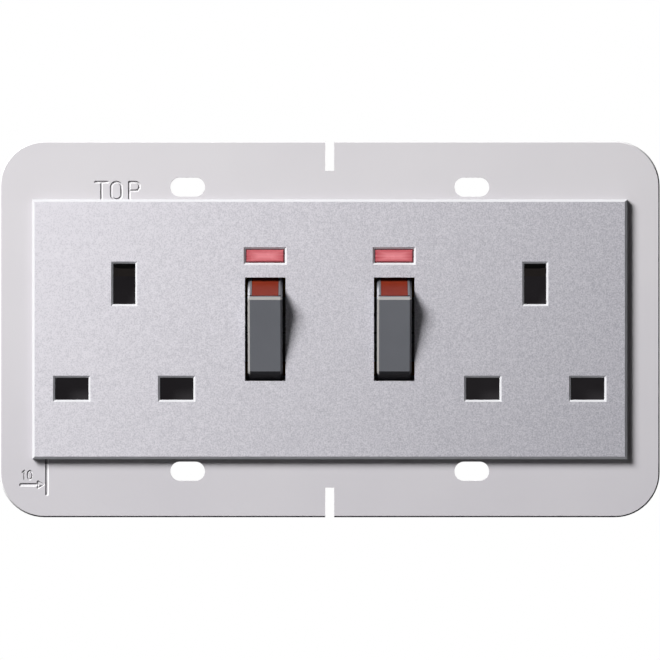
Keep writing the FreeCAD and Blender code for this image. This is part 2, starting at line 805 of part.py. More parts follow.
def rocker_section(x, low):
    """Rocker's outline before it tilts: face, ridge, a flat above the ridge, round ends, bottom at low."""

    def point(z, rise):
        return vec(x, rocker_pivot_y - rise, z)

    def on_end(side, angle):
        return point(side * rocker_radius * math.cos(angle), rocker_radius * math.sin(angle))

    ridge_angle = math.radians(rocker_ridge_angle)
    flat_end = ridge_angle - math.acos(rocker_radius / ridge_reach)
    low_corner = math.radians(rocker_low_angle)
    bottom = math.asin(low / rocker_radius)
    ridge = point(ridge_z, ridge_reach * math.sin(ridge_angle))
    low_ends = on_end(-1, bottom), on_end(-1, (bottom + low_corner) / 2), on_end(-1, low_corner)
    low_end = Part.Arc(*low_ends).toShape()
    edges = [
        Part.makeLine(on_end(-1, low_corner), ridge),
        Part.makeLine(ridge, on_end(1, flat_end)),
        Part.Arc(on_end(1, flat_end), on_end(1, (flat_end + bottom) / 2), on_end(1, bottom)).toShape(),
        Part.makeLine(on_end(1, bottom), on_end(-1, bottom)),
        low_end,
    ]
    return Part.Face(Part.Wire(edges))


def rocker(x):
    """Rocker key, its carrier and trunnions, tilted to its rest position."""
    half = rocker_width / 2
    key = rocker_section(x - half, side_gap).extrude(vec(rocker_width, 0, 0))
    key = key.makeChamfer(rocker_edge_bevel, rocker_edges(key))
    wall = flag_depth + rocker_wall
    side = half - rocker_wall
    inside = rocker_section(x - side, -wall).makeOffset2D(-wall).extrude(vec(2 * side, 0, 0))
    groove_end = flag_high_angle + flag_groove_angle
    groove = end_layer(x - half, x + half, -1, flag_groove_depth, flag_high_angle, groove_end)
    key = key.cut(joined([inside, flag_tile(x, bearing_gap)])).cut(groove)
    front, back = rocker_pivot_y - carrier_half_height / 3, rocker_pivot_y + carrier_back
    tall = carrier_half_height
    carrier = block(x - carrier_half, x + carrier_half, front, back, -tall, tall)
    stem = rod_y(x, 0, plunger_radius + stem_wall, rocker_pivot_y - stem_front, rocker_pivot_y + stem_back)
    reach = carrier_half + trunnion_length
    pins = rod_x(rocker_pivot_y, 0, trunnion_radius, x - reach, x + reach)
    bore_radius = plunger_radius + bearing_gap
    bore = rod_y(x, 0, bore_radius, rocker_pivot_y - plunger_bore_depth, rocker_pivot_y + stem_back + 1)
    return turned(joined([key, carrier, stem, pins]).cut(bore), rocker_pivot_y, rocker_tilt)


def rocker_edges(key):
    """Edges to bevel: the outline of both sides, the ridge and the lower edge of the face."""
    bottom = rocker_pivot_y - side_gap
    chosen = []
    for edge in key.Edges:
        first, last = edge.Vertexes[0].Point, edge.Vertexes[-1].Point
        if abs(first.x - last.x) > slide_gap:
            sharp = min(abs(first.z - ridge_z), abs(first.z + face_low_z)) < 0.01
        else:
            sharp = min(first.y, last.y) < bottom - slide_gap
        if sharp:
            chosen.append(edge)
    return chosen


def end_layer(x0, x1, outer, inner, low, high):
    """Layer of the rocker's upper end between two depths under its surface and two angles over Z."""
    section = rocker_section(x0, -inner)
    skin = section.makeOffset2D(-outer).cut(section.makeOffset2D(-inner))
    points = [(rocker_pivot_y, 0)]
    for degrees in (low, high):
        angle = math.radians(degrees)
        reach = 2 * rocker_radius
        points.append((rocker_pivot_y - reach * math.sin(angle), reach * math.cos(angle)))
    return skin.extrude(vec(x1 - x0, 0, 0)).common(prism_x(points, x0, x1))


def flag_tile(x, gap):
    """Tile let into the rocker's upper end, a little below its surface. With a gap it is the pocket."""
    half = flag_width / 2 + gap
    spread = math.degrees(gap / rocker_radius)
    outer = -1 if gap else slide_gap
    low, high = flag_low_angle - spread, flag_high_angle + spread
    return end_layer(x - half, x + half, outer, flag_depth + gap, low, high)


def flag(x):
    return turned(flag_tile(x, 0), rocker_pivot_y, rocker_tilt)


def plunger(x):
    """Plunger with a tapered nose in the rocker's stem."""
    shoulder = rocker_pivot_y + plunger_reach - plunger_nose
    rod = rod_y(x, 0, plunger_radius, rocker_pivot_y + plunger_tail, shoulder)
    base = vec(x, shoulder, 0)
    nose = Part.makeCone(plunger_radius, plunger_tip_radius, plunger_nose, base, vec(0, 1, 0))
    return turned(joined([rod, nose]), rocker_pivot_y, rocker_tilt)


def plunger_spring(x):
    length = plunger_tail + plunger_bore_depth - 2 * bearing_gap
    spring = coil(plunger_radius - 2 * plunger_wire, plunger_wire, length, spring_turns)
    spring.rotate(vec(0, 0, 0), vec(1, 0, 0), -90)
    spring = moved(spring, x, rocker_pivot_y - plunger_bore_depth + bearing_gap, 0)
    return turned(spring, rocker_pivot_y, rocker_tilt)


def lever_slope():
    """Slope of the lever's arms at which the plunger's nose keeps its gap at both ends of its travel."""
    tilt = math.radians(rocker_tilt)
    return math.tan(math.radians(lever_tilt)) + (1 - math.cos(tilt)) / math.sin(tilt)


def lever(x):
    """See-saw contact arm that rocks on the live bar's post."""
    arm = lever_arm
    rise = lever_slope() * arm
    front, back = lever_front_y, lever_front_y + lever_thickness
    upper = [(front, 0), (front - rise, arm), (back - rise, arm)]
    lower = [(back, 0), (back - rise, -arm), (front - rise, -arm)]
    half = lever_width / 2
    arms = prism_x(upper + lower, x - half, x + half)
    hub = rod_x(lever_pivot_y, 0, lever_pivot_y - front - lever_pivot_gap, x - half, x + half)
    hub_back = lever_pivot_y + lever_pivot_radius / 3
    hub = hub.common(block(x - half, x + half, front - 1, hub_back, -arm, arm))
    seat = rod_x(lever_pivot_y, 0, lever_pivot_radius + bearing_gap, x - half, x + half)
    return turned(joined([arms, hub]).cut(seat), lever_pivot_y, -lever_tilt)


def moving_contact(x):
    y = lever_front_y + lever_thickness - lever_slope() * contact_z
    tip = rod_y(x, 0, contact_radius, 0, contact_height)
    tip.rotate(vec(x, 0, 0), vec(1, 0, 0), math.degrees(math.atan(lever_slope())))
    return turned(moved(tip, 0, y, contact_z), lever_pivot_y, -lever_tilt)


def fixed_strip_y():
    """Front of the strip under the moving contact: the contacts stand just clear of each other."""
    arm_y = lever_front_y + lever_thickness - lever_slope() * contact_z - lever_pivot_y
    tilt = math.radians(-lever_tilt)
    arm_end_y = lever_pivot_y + arm_y * math.cos(tilt) - contact_z * math.sin(tilt)
    return arm_end_y + 2 * contact_height + contact_gap


def fixed_contact(x):
    y = fixed_strip_y()
    return rod_y(x, contact_z, contact_radius, y - contact_height, y)


def flat_clip(x):
    """Sprung clip for a live or neutral pin: two leaves above and below the pin."""
    route = clip_route(shutter_cover_y + shutter_cover_thickness + leaf_mouth_gap, flat_clip_base)
    points = [vec(x, y, pin_line_z + reach) for y, reach in route]
    return ribbon(points, vec(1, 0, 0), leaf_thickness, flat_clip_width, leaf_thickness)


def earth_clip(x):
    """Sprung clip for the earth pin: two leaves left and right of the pin."""
    route = clip_route(shutter_y + ramp_depth + leaf_mouth_gap, earth_clip_base)
    points = [vec(x + reach, y, earth_z) for y, reach in route]
    return ribbon(points, vec(0, 0, 1), leaf_thickness, earth_clip_width, leaf_thickness)


def clip_route(mouth, base):
    """Centre line of a pin clip from one flared mouth, around its base, to the other, as (y, reach)."""
    grip = (leaf_gap + leaf_thickness) / 2
    end = base - leaf_thickness / 2
    half = [(mouth, grip + leaf_flare), (mouth + leaf_mouth_depth, grip), (end, grip + leaf_swell)]
    return half + [(y, -reach) for y, reach in reversed(half)]


def line_run_z(side):
    return left_run_z if side < 0 else right_run_z


def line_strip(side):
    """Switched live strip from the fixed contact of one switch to the live clip of its socket."""
    y0, y1 = line_strip_y, line_strip_y + strip_thickness
    clip_x = side * socket_x + live_x
    run_z = line_run_z(side)
    half = strip_width / 2
    near, far = side * (line_run_x - half), side * (line_run_x + half)
    low = min(run_z, pin_line_z)
    x0, x1 = sorted((near, clip_x + side * half))
    parts = [
        block(x0, x1, y0, y1, run_z - half, run_z + half),
        block(clip_x - half, clip_x + half, y0, y1, low - half, run_z + half),
        block(*sorted((near, far)), y0, y1, run_z - half, contact_z + half),
    ]
    front = fixed_strip_y() + strip_thickness / 2
    middle = y0 + strip_thickness / 2
    step = side * (line_run_x - strip_width)
    tip = side * (switch_x - lamp_length / 2 - strip_width / 2)
    route = [
        vec(far, middle, contact_z),
        vec(step - side * half, middle, contact_z),
        vec(step - side * strip_width, front, contact_z),
        vec(tip, front, contact_z),
    ]
    parts.append(ribbon(route, vec(0, 0, 1), strip_thickness, strip_width, strip_bend))
    return joined(parts)


def line_bar():
    """Live bar with a post for each switch lever and a leg to the live terminal."""
    y0, y1 = line_bar_y, line_bar_y + strip_thickness
    reach = switch_x + 2 * strip_bend + lever_pivot_radius
    parts = [block(-reach, reach, y0, y1, -line_bar_height / 2, line_bar_height / 2)]
    half = lever_width / 2 + lever_post_overhang
    for side in (-1, 1):
        x = side * switch_x
        parts.append(slab(x, 0, 2 * half, lever_post_thickness, lever_pivot_y, y0 + slide_gap))
        parts.append(rod_x(lever_pivot_y, 0, lever_pivot_radius, x - half, x + half))
    leg = strip_width / 2
    parts.append(block(-terminal_x - leg, -terminal_x + leg, y0, y1, -terminal_inner_z, 0))
    return joined(parts)


def neutral_bar():
    """Neutral bar behind both sockets, with a riser to each neutral clip and a tab to its terminal."""
    y0, y1 = rear_bar_y, rear_bar_y + strip_thickness
    half = strip_width / 2
    ends = [-socket_x - live_x, socket_x - live_x]
    parts = [block(ends[0] - half, ends[1] + half, y0, y1, neutral_bar_z - half, neutral_bar_z + half)]
    middle = y0 + strip_thickness / 2
    foot = flat_clip_base + strip_thickness / 2
    low, high = pin_line_z - 2 * strip_width / 3, pin_line_z + strip_width / 2
    for x in ends:
        route = [vec(x, middle, neutral_bar_z), vec(x, middle, low), vec(x, foot, low), vec(x, foot, high)]
        parts.append(ribbon(route, vec(1, 0, 0), strip_thickness, strip_width, strip_bend))
    parts.append(block(terminal_x - half, terminal_x + half, y0, y1, -terminal_inner_z, neutral_bar_z))
    return joined(parts)


def earth_bar():
    """Earth bar behind both earth clips, with a tab to each earth terminal."""
    y0, y1 = earth_clip_base, earth_clip_base + strip_thickness
    half = strip_width / 2
    reach = socket_x + earth_clip_width / 2
    parts = [block(-reach, reach, y0, y1, earth_bar_z - half, earth_bar_z + half)]
    for side in (-1, 1):
        x = side * terminal_x
        parts.append(block(x - half, x + half, y0, y1, earth_bar_z, terminal_inner_z))
    return joined(parts)


def terminal(x, sign):
    """Brass pillar terminal: the wire enters along Z from the edge of the housing."""
    z0, z1 = sorted((sign * terminal_end_z, sign * terminal_inner_z))
    back = terminal_front + terminal_depth
    pillar = block(x - terminal_width / 2, x + terminal_width / 2, terminal_front, back, z0, z1)
    edges = [e for e in pillar.Edges if abs(e.tangentAt(e.FirstParameter).z) > 0.99]
    pillar = pillar.makeChamfer(terminal_edge_bevel, edges)
    mouth, end = sorted((sign * terminal_end_z, sign * (terminal_inner_z + terminal_end_wall)))
    bore = rod_z(x, wire_y, wire_radius, mouth, end)
    thread = bore_y(x, sign * terminal_screw_z, terminal_screw_radius + bearing_gap, wire_y, back)
    return pillar.cut(bore.fuse(thread))


def slotted_screw(x, z, tip, head, end, radius, head_radius):
    """Cheese-head screw along Y: its head runs from head to end, with the driver's slot at the end."""
    shank = many_sided(x, z, radius, tip, head)
    cap = many_sided(x, z, head_radius, head, end, head_sides)
    slot = slab(x, z, 2 * head_radius + 1, screw_slot_width, (head + end) / 2, end)
    return joined([shank, cap]).cut(slot)


def terminal_screws():
    """Clamping screws, backed out so that the wire holes are open."""
    tip = wire_y + wire_radius + side_gap
    end = body_depth + terminal_head_rise
    depths = (tip, end - terminal_head_height, end)
    radii = (terminal_screw_radius, terminal_head_radius)
    places = [(x, sign * terminal_screw_z) for x, sign in terminal_places]
    return Part.makeCompound([slotted_screw(*place, *depths, *radii) for place in places])


def housing_screws():
    """Screws that hold the rear cover on the middle frame, driven from the back."""
    head = body_depth - screw_well
    depths = (joint_depth - screw_bite, head, head + screw_head_height)
    radii = (screw_radius, screw_head_radius)
    return Part.makeCompound([slotted_screw(*place, *depths, *radii) for place in housing_screw_places])


def plate_screws():
    """Countersunk screws that hold the support plate and the front moulding on the middle frame."""
    screws = []
    top = -support_thickness
    depth = screw_head_radius - screw_radius
    for side in (-1, 1):
        for sign in (-1, 1):
            place = (side * plate_screw_x, sign * plate_screw_z)
            head = taper_y(*place, screw_head_radius, screw_radius, top)
            shank = many_sided(*place, screw_radius, top + depth, plate_screw_length - 1, head_sides)
            screws.append(joined([head, shank]))
    return Part.makeCompound(screws)


def export(name, shape):
    """Writes one sub-part, after checking that every solid in it is sound."""
    solids = shape.Solids
    if not solids or not all(s.isValid() and s.Volume > 0 for s in solids):
        raise ValueError(f"{name} is not sound: {len(solids)} solids")
    shape.exportStep(f"parts/{name}.step")
    print(f"{name}: {len(solids)} solid(s), {sum(s.Volume for s in solids):.1f} mm3")


def all_parts():
    parts = {
        "support_plate": support_plate(),
        "centre_plate": centre_plate(),
        "cover_frame": cover_frame(),
        "front_housing": front_housing(),
        "middle_frame": middle_frame(),
        "rear_cover": rear_cover(),
        "housing_screws": housing_screws(),
        "plate_screws": plate_screws(),
        "line_bar": line_bar(),
        "neutral_bar": neutral_bar(),
        "earth_bar": earth_bar(),
        "terminal_screws": terminal_screws(),
        "line_terminal": terminal(*terminal_places[0]),
        "neutral_terminal": terminal(*terminal_places[1]),
        "earth_terminal_left": terminal(*terminal_places[2]),
        "earth_terminal_right": terminal(*terminal_places[3]),
    }
    for hand, side in (("left", -1), ("right", 1)):
        at_socket = side * socket_x
        at_switch = side * switch_x
        parts.update(
            {
                f"lens_{hand}": lens(at_switch),
                f"lamp_{hand}": lamp(at_switch, side),
                f"resistor_{hand}": resistor(at_switch, side),
                f"shutter_{hand}": shutter(at_socket),
                f"shutter_spring_{hand}": shutter_spring(at_socket),
                f"shutter_cover_{hand}": shutter_cover(at_socket),
                f"rocker_{hand}": rocker(at_switch),
                f"rocker_flag_{hand}": flag(at_switch),
                f"plunger_{hand}": plunger(at_switch),
                f"plunger_spring_{hand}": plunger_spring(at_switch),
                f"contact_lever_{hand}": lever(at_switch),
                f"moving_contact_{hand}": moving_contact(at_switch),
                f"fixed_contact_{hand}": fixed_contact(at_switch),
                f"line_strip_{hand}": line_strip(side),
                f"line_clip_{hand}": flat_clip(at_socket + live_x),
                f"neutral_clip_{hand}": flat_clip(at_socket - live_x),
                f"earth_clip_{hand}": earth_clip(at_socket),
            }
        )
    return parts


def main():
    os.makedirs("parts", exist_ok=True)
    for name, shape in all_parts().items():
        export(name, shape)


main()
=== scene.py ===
import json
import math
import bpy
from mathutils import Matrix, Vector


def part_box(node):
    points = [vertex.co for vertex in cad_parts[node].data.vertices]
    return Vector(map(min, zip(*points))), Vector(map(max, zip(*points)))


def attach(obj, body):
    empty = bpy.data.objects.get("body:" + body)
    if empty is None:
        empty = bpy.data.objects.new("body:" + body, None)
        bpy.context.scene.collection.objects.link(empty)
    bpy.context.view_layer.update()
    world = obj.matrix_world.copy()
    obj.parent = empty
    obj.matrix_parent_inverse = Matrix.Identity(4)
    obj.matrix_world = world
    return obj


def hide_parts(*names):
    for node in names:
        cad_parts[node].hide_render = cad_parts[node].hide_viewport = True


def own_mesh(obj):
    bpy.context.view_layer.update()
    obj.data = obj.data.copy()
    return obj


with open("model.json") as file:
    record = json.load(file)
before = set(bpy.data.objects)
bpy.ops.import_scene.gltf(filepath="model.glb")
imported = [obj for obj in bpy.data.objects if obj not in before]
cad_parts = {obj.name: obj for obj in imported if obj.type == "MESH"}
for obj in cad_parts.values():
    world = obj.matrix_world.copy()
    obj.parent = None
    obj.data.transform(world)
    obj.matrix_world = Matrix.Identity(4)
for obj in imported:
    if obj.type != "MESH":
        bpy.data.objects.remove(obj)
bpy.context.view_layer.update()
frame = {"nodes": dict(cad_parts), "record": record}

# Lengths are in metres where nothing else is said, in the frame of the CAD model: X right, Y into the wall,
# Z up.
MM = 0.001
RECORD = frame["record"]
NODES = frame["nodes"]

# Camera: straight at the cover, from far away through a long lens. Lens and sensor are in millimetres.
LENS = 300.0
SENSOR = 36.0
CAMERA_AT = Vector((0.00006, -1.168, -0.00017))
NEAR_CLIP = 0.01

# Lights: distance from the plate, and each lamp's direction, size and level on a surface that faces it.
# The key lamp's level is the one on the plate, which it lights at a slant.
LAMP_DISTANCE = 1.6
KEY_DIRECTION = Vector((-0.8, -1.0, 0.74)).normalized()
KEY_SIZE = 0.74
KEY_LEVEL = 0.9425
BACK_LAMPS = [
    (Vector((-0.9, 0.85, 0.7)), 0.6, 0.6676),
    (Vector((0.9, 0.8, 0.35)), 0.7, 0.3927),
    (Vector((0.1, 0.5, -0.9)), 0.8, 0.1963),
]

# World: level of the dim room, and where its white part starts and is full, from 0 beside the object to 1
# straight behind it.
AMBIENT = 0.025
BEHIND_FROM = -0.1
BEHIND_FULL = 0.3

# Floor: it fades to white between two shares of its radius. What bounced light sees of it is dimmed.
FLOOR_Z = -0.16
FLOOR_RADIUS = 0.9
FLOOR_SIDES = 96
FADE_FROM = 0.25
FADE_FULL = 0.95
FADE_START = 0.5
BOUNCE_LOSS = 0.94
FLOOR_TONES = ((0.78, 0.78, 0.79, 1.0), (0.83, 0.83, 0.83, 1.0))
WHITE = (1.0, 1.0, 1.0, 1.0)
BLACK = (0.0, 0.0, 0.0, 1.0)

# Steps in the round end of each stroke of a mark
ROUND_STEPS = 8

# Engraved marks on the support plate, in millimetres. The cutter starts a little above the face, and each
# side of a stroke slopes over a share of its width. Edges that turn by more than the sharp angle stay sharp.
ENGRAVING_DEPTH = 0.34
ENGRAVING_START = 0.03
ENGRAVING_SLOPE = 0.32
SHARP_ANGLE = math.radians(30)

# The word TOP: stroke, rows and the places of its letters
LETTER_WIDTH = 0.6
LETTER_TOP = 31.2
LETTER_FOOT = 27.5
LETTER_T = (-49.7, -48.4, -47.1)
LETTER_O = -45.25
LETTER_O_WIDTH = 2.2
LETTER_P = -42.5
LETTER_P_BOWL = -41.2
LETTER_P_BOWL_WIDTH = 1.7

# The measuring mark: the figures 1 and 0, the arrow's shaft and head, and the line
FIGURE_WIDTH = 0.38
FIGURE_ONE = [(-65.2, -30.4), (-64.8, -30.0), (-64.8, -31.85)]
FIGURE_NOUGHT = (-63.6, -30.95)
FIGURE_NOUGHT_SIZE = (0.95, 1.9)
RULE_WIDTH = 0.8
RULE_SHAFT = [(-65.5, -33.0), (-62.3, -33.0)]
RULE_LINE = [(-59.95, -27.0), (-59.95, -35.0)]
ARROW_WIDTH = 0.5
ARROW_HEAD = [(-61.9, -32.3), (-60.7, -33.0), (-61.9, -33.7), (-61.9, -32.3)]

# Raised marks on the rear cover, in millimetres, drawn as they are read from behind
MARK_WIDTH = 0.55
MARK_RISE = 0.4
MARK_ROOT = 0.1
MARKS = {
    "mark_line": [[(11.9, -13.4), (11.9, -16.4), (13.6, -16.4)]],
    "mark_neutral": [[(-13.6, -16.4), (-13.6, -13.4), (-11.9, -16.4), (-11.9, -13.4)]],
    "mark_earth": [
        [(0.0, 11.2), (0.0, 9.8)],
        [(-1.5, 9.8), (1.5, 9.8)],
        [(-1.0, 9.0), (1.0, 9.0)],
        [(-0.45, 8.2), (0.45, 8.2)],
    ],
}

# Resistor: depth of its axis, ends of its case, half widths of its wire and bands, and each band's height
# and colour
RESISTOR_Y = 0.010
CASE_TOP = 0.0112
CASE_FOOT = 0.0046
WIRE_HALF = 0.0004
BAND_HALF = 0.00028
BANDS = [
    (0.0100, (120, 70, 36)),
    (0.0089, (24, 24, 24)),
    (0.0078, (216, 176, 40)),
    (0.0058, (196, 150, 60)),
]

# Lamp: half length of its glass
GLASS_HALF = 0.00205

# Light window: where its dark rim of painted shade ends, as a distance from the middle in shares of the
# window's box
LENS_RIM_X = 0.39
LENS_RIM_Z = 0.28

# How far a surface's normal is along Y: more than STRAIGHT is a face, less than SIDEWAYS a side wall, and
# between them is a slope.
STRAIGHT = 0.97
SIDEWAYS = 0.35

# Cover: tone in its middle, and the painted light that changes it per metre to the right and up, paler
# toward the upper left. The lacquer is partly metallic.
COVER_TONE = 0.46
COVER_PAINTED_LIGHT_X = -3.9
COVER_PAINTED_LIGHT_Z = 2.5
COVER_METALLIC = 0.42

# Height from the plate's middle at which its painted light, paler toward the top, stops changing
PLATE_PAINTED_LIGHT_Z = 0.036

# Material slots that are a plain moulding
MOULDINGS = {
    "housing_dark": dict(dark=(30, 30, 33), light=(38, 38, 41), roughness=0.55, glow=0.7),
    "housing_light": dict(dark=(186, 186, 183), light=(192, 192, 189), roughness=0.5),
    "shutter_black": dict(dark=(30, 28, 30), light=(34, 32, 34), roughness=0.5, glow=0.9),
    "plunger_nylon": dict(dark=(218, 212, 196), light=(232, 228, 216), roughness=0.4),
}

# Streaks of a drawn metal, by how much finer they are along X, Y and Z
ALONG_X = (1.0, 6.0, 6.0)
ALONG_Y = (6.0, 1.0, 6.0)
ALONG_Z = (6.0, 6.0, 1.0)

# Material slots that are a bare metal
METALS = {
    "screw_steel": dict(dark=(176, 176, 168), light=(216, 214, 202), roughness=0.32),
    "spring_steel": dict(dark=(170, 170, 172), light=(206, 206, 208), roughness=0.28),
    "contact_silver": dict(dark=(208, 208, 204), light=(236, 236, 232), roughness=0.3),
    "contact_brass": dict(dark=(150, 112, 62), light=(176, 138, 80), roughness=0.42, streak=ALONG_X),
    # The contact clips are painted dark, a painted shade for their place deep behind the socket holes; their
    # glow is as for a moulding.
    "clip_bronze": dict(dark=(62, 58, 57), light=(72, 66, 64), roughness=0.55, streak=ALONG_Y, glow=0.25),
    "terminal_brass": dict(dark=(186, 148, 80), light=(214, 176, 104), roughness=0.34, streak=ALONG_Z),
}


def linear(red, green, blue):
    """Linear colour of an sRGB colour given in steps of 0 to 255."""
    values = []
    for value in (red, green, blue):
        part = value / 255
        values.append(part / 12.92 if part <= 0.04045 else ((part + 0.055) / 1.055) ** 2.4)
    return (*values, 1.0)


class Nodes:
    """Short calls that add nodes to a shader tree and give their outputs."""

    def __init__(self, tree):
        self.tree = tree

    def add(self, kind, inputs=None, **settings):
        """New node with its settings, its inputs fed by values or by other nodes' outputs."""
        node = self.tree.nodes.new(kind)
        for name, value in settings.items():
            setattr(node, name, value)
        for socket, value in (inputs or {}).items():
            self.feed(node.inputs[socket], value)
        return node

    def feed(self, socket, value):
        if isinstance(value, bpy.types.NodeSocket):
            self.tree.links.new(value, socket)
        else:
            socket.default_value = value

    def math(self, operation, first, second=0.0, third=0.0):
        inputs = {0: first, 1: second, 2: third}
        return self.add("ShaderNodeMath", inputs, operation=operation).outputs[0]

    def both(self, first, second):
        """1 where two masks are 1."""
        return self.math("MULTIPLY", first, second)

    def either(self, first, second):
        """1 where one of two masks is 1."""
        return self.math("MAXIMUM", first, second)

    def above(self, value, limit):
        return self.math("GREATER_THAN", value, limit)

    def below(self, value, limit):
        return self.math("LESS_THAN", value, limit)

    def between(self, value, low, high):
        return self.both(self.below(value, high), self.above(value, low))

    def off(self, value, middle):
        """Distance of a value from a middle."""
        return self.math("ABSOLUTE", self.math("SUBTRACT", value, middle))

    def ranged(self, value, low, high, to_low=0.0, to_high=1.0):
        """Value taken from one range to another, and kept inside it."""
        inputs = {"Value": value, "From Min": low, "From Max": high, "To Min": to_low, "To Max": to_high}
        return self.add("ShaderNodeMapRange", inputs, clamp=True).outputs["Result"]

    def split(self, vector):
        """The three parts of a vector."""
        return self.add("ShaderNodeSeparateXYZ", {0: vector}).outputs

    def blend(self, factor, first, second):
        """First colour where the factor is 0, second where it is 1."""
        node = self.add("ShaderNodeMix", data_type="RGBA")
        # A colour mix takes its colours in sockets 6 and 7, and gives the result in output 2.
        for index, value in ((0, factor), (6, first), (7, second)):
            self.feed(node.inputs[index], value)
        return node.outputs[2]


class Finish(Nodes):
    """A procedural material in the making. Place is in metres, share from 0 to 1 over the piece's box."""

    def __init__(self, name):
        self.material = bpy.data.materials.new(name)
        self.material.use_nodes = True
        super().__init__(self.material.node_tree)
        self.shader = self.tree.nodes["Principled BSDF"]
        coordinates = self.add("ShaderNodeTexCoord").outputs
        self.place = coordinates["Object"]
        self.normal = coordinates["Normal"]
        self.share = coordinates["Generated"]

    def set(self, **values):
        """Feeds the shader's inputs, named with _ for a space, and gives the finished material."""
        for name, value in values.items():
            self.feed(self.shader.inputs[name.replace("_", " ")], value)
        return self.material

    def scaled(self, x, y, z):
        """Place stretched along the axes, for noise with a grain."""
        inputs = {"Vector": self.place, "Scale": (x, y, z)}
        return self.add("ShaderNodeMapping", inputs).outputs["Vector"]

    def noise(self, scale, detail=2.0, vector=None):
        """Smooth noise from 0 to 1. The scale is about the number of its waves per metre."""
        inputs = {"Vector": vector or self.place, "Scale": scale, "Detail": detail}
        return self.add("ShaderNodeTexNoise", inputs).outputs["Fac"]

    def bump(self, height, distance, strength):
        """Fine relief of the surface, with its distance in millimetres."""
        inputs = {"Height": height, "Distance": distance * MM, "Strength": strength}
        self.feed(self.shader.inputs["Normal"], self.add("ShaderNodeBump", inputs).outputs["Normal"])

    def facing(self):
        """1 on faces that look straight along Y, 0 on those that look across it."""
        return self.math("ABSOLUTE", self.split(self.normal)[1])

    def slopes(self, sideways=SIDEWAYS):
        """1 on bevels and round edges, 0 on faces that look straight along Y or across it."""
        return self.between(self.facing(), sideways, STRAIGHT)

    def upper_left(self):
        """1 on slopes that face up or left, 0 on those that face down or right."""
        across, _, up = self.split(self.normal)
        return self.ranged(self.math("SUBTRACT", up, across), -0.5, 0.5)


def cover_lacquer():
    """Aluminium-look lacquer: fine flakes, painted light that makes it paler toward the upper left, and
    plain bevels without flakes, painted paler where they face up or left.
    """
    look = Finish("cover_lacquer_look")
    x, _, z = look.split(look.place)
    fine = look.noise(3300.0, detail=4.0)
    broad = look.noise(1300.0, detail=1.0)
    flakes = look.math("ADD", look.math("MULTIPLY", fine, 0.8), look.math("MULTIPLY", broad, 0.2))
    # Painted light: the tone grows paler toward the left and the top, following the key lamp's fall-off.
    painted_light_z = look.math("MULTIPLY_ADD", z, COVER_PAINTED_LIGHT_Z, COVER_TONE)
    painted_light = look.math("MULTIPLY_ADD", x, COVER_PAINTED_LIGHT_X, painted_light_z)
    tone = look.math("ADD", look.ranged(flakes, 0.36, 0.64, 0.0, 0.46), painted_light)
    face = look.blend(tone, linear(174, 174, 184), linear(250, 247, 254))
    shell = look.blend(look.below(look.facing(), SIDEWAYS), face, linear(150, 148, 154))
    bevel = look.slopes()
    # Painted highlight and shade: bevels that face up or left are paler than those that face down or right.
    edge = look.blend(look.upper_left(), linear(205, 206, 212), linear(228, 228, 231))
    look.bump(fine, 0.01, 0.25)
    return look.set(
        Base_Color=look.blend(bevel, shell, edge),
        Metallic=look.ranged(bevel, 0.0, 1.0, COVER_METALLIC, 0.0),
        Roughness=look.ranged(broad, 0.3, 0.7, 0.39, 0.44),
    )


def plate_metal():
    """Pale grey stove coat with a faint orange-peel surface, painted paler toward the top as painted light.
    Its thin edges and the walls of its engraved marks carry a painted highlight where they face up or left
    and painted shade where they face down or right.
    """
    look = Finish("plate_metal_look")
    cloud = look.noise(35.0, detail=3.0)
    # Painted light: the coat is paler toward the top.
    height = look.ranged(look.split(look.place)[2], -PLATE_PAINTED_LIGHT_Z, PLATE_PAINTED_LIGHT_Z, 0.0, 0.7)
    tone = look.math("ADD", look.ranged(cloud, 0.3, 0.7, 0.0, 0.3), height)
    colour = look.blend(tone, linear(206, 203, 208), linear(218, 215, 218))
    # Painted highlight and painted shade: edges and engraved walls that face up or left are near white,
    # those that face down or right near black.
    edge = look.blend(look.upper_left(), linear(84, 82, 86), linear(252, 251, 252))
    look.bump(look.noise(1400.0), 0.02, 0.3)
    return look.set(
        Base_Color=look.blend(look.slopes(sideways=0.2), colour, edge),
        Roughness=look.ranged(cloud, 0.3, 0.7, 0.42, 0.52),
        Specular_IOR_Level=0.2,
    )


def rocker_grey():
    """Satin dark grey, with a painted highlight on the ridge and the left edge, and painted shade on the low
    end.
    """
    look = Finish("rocker_grey_look")
    cloud = look.noise(90.0)
    across, _, up = look.split(look.normal)
    _, y, z = look.split(look.place)
    proud = look.below(y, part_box("centre_plate")[0].y)
    beside_flag = look.above(z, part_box("rocker_flag_left")[0].z)
    # Painted highlight on the left edge and the ridge, which face the key lamp, only where they stand proud
    # of the cover.
    left_edge = look.both(look.between(across, -0.9, -0.3), look.ranged(beside_flag, 0.0, 1.0, 1.0, 0.3))
    ridge = look.between(up, 0.2, 0.6)
    painted_highlight = look.both(look.either(left_edge, ridge), proud)
    body = look.blend(look.ranged(cloud, 0.3, 0.7), linear(111, 113, 119), linear(115, 117, 123))
    # Painted shade: the low end, which faces down, is painted dark.
    body = look.blend(look.below(up, -0.45), body, linear(46, 46, 50))
    look.bump(look.noise(4200.0), 0.01, 0.4)
    return look.set(
        Base_Color=look.blend(painted_highlight, body, linear(166, 164, 162)),
        Roughness=look.ranged(cloud, 0.3, 0.7, 0.32, 0.4),
        Specular_IOR_Level=0.5,
    )


